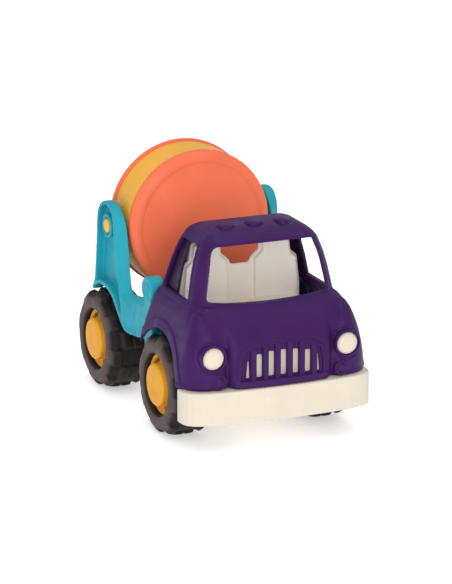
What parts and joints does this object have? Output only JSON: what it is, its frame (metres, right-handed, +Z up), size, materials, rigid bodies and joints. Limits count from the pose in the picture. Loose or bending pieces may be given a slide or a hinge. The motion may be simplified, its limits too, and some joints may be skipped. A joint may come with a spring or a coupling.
{
  "type": "toy cement mixer truck",
  "caption": "Chunky moulded toy cement mixer truck with a rounded cab, a fork at the rear and a drum that spins in a ring and tips to pour.",
  "frame": {"origin": "centre of the bounding box on the ground, under the truck", "axes": "+Z up, -Y towards the front of the truck, +X towards the truck's left side"},
  "size_m": [0.184, 0.3036, 0.2337],
  "materials": {
    "purple_plastic": "satin moulded plastic with a fine grain",
    "dark_purple_plastic": "satin moulded plastic",
    "cream_plastic": "satin moulded plastic",
    "teal_plastic": "satin moulded plastic",
    "orange_plastic": "satin moulded plastic",
    "yellow_plastic": "satin moulded plastic",
    "black_rubber": "matte black moulded tyre",
    "steel": "plated steel"
  },
  "bodies": {
    "truck": {"cab_shell": "purple_plastic", "cab_back_wall": "dark_purple_plastic", "seat_insert": "cream_plastic", "grille_insert": "cream_plastic", "headlamp_left": "cream_plastic", "headlamp_right": "cream_plastic", "chassis": "cream_plastic", "rear_body": "teal_plastic", "screw_front_left": "steel", "screw_front_right": "steel", "screw_rear_left": "steel", "screw_rear_right": "steel"},
    "front_wheels": {"axle_front": "steel", "tyre_front_left": "black_rubber", "tyre_front_right": "black_rubber", "hub_front_left": "yellow_plastic", "hub_front_right": "yellow_plastic"},
    "rear_wheels": {"axle_rear": "steel", "tyre_rear_left": "black_rubber", "tyre_rear_right": "black_rubber", "hub_rear_left": "yellow_plastic", "hub_rear_right": "yellow_plastic"},
    "drum_cradle": {"drum_ring": "yellow_plastic", "drum_pin_left": "yellow_plastic", "drum_pin_right": "yellow_plastic"},
    "drum": {"drum_front_shell": "orange_plastic", "drum_rear_shell": "orange_plastic"}
  },
  "joints": [
    {"name": "front_wheels_roll", "type": "hinge", "parent": "truck", "child": "front_wheels", "pos_m": [0, -0.0648, 0.0475], "axis": [1, 0, 0], "continuous": true},
    {"name": "rear_wheels_roll", "type": "hinge", "parent": "truck", "child": "rear_wheels", "pos_m": [0, 0.0952, 0.0475], "axis": [1, 0, 0], "continuous": true},
    {"name": "drum_tilt", "type": "hinge", "parent": "truck", "child": "drum_cradle", "pos_m": [0, 0.0732, 0.1625], "axis": [-1, 0, 0], "range_deg": [0, 42]},
    {"name": "drum_spin", "type": "hinge", "parent": "drum_cradle", "child": "drum", "pos_m": [0, 0.0732, 0.1625], "axis": [0, 1, 0], "continuous": true}
  ]
}
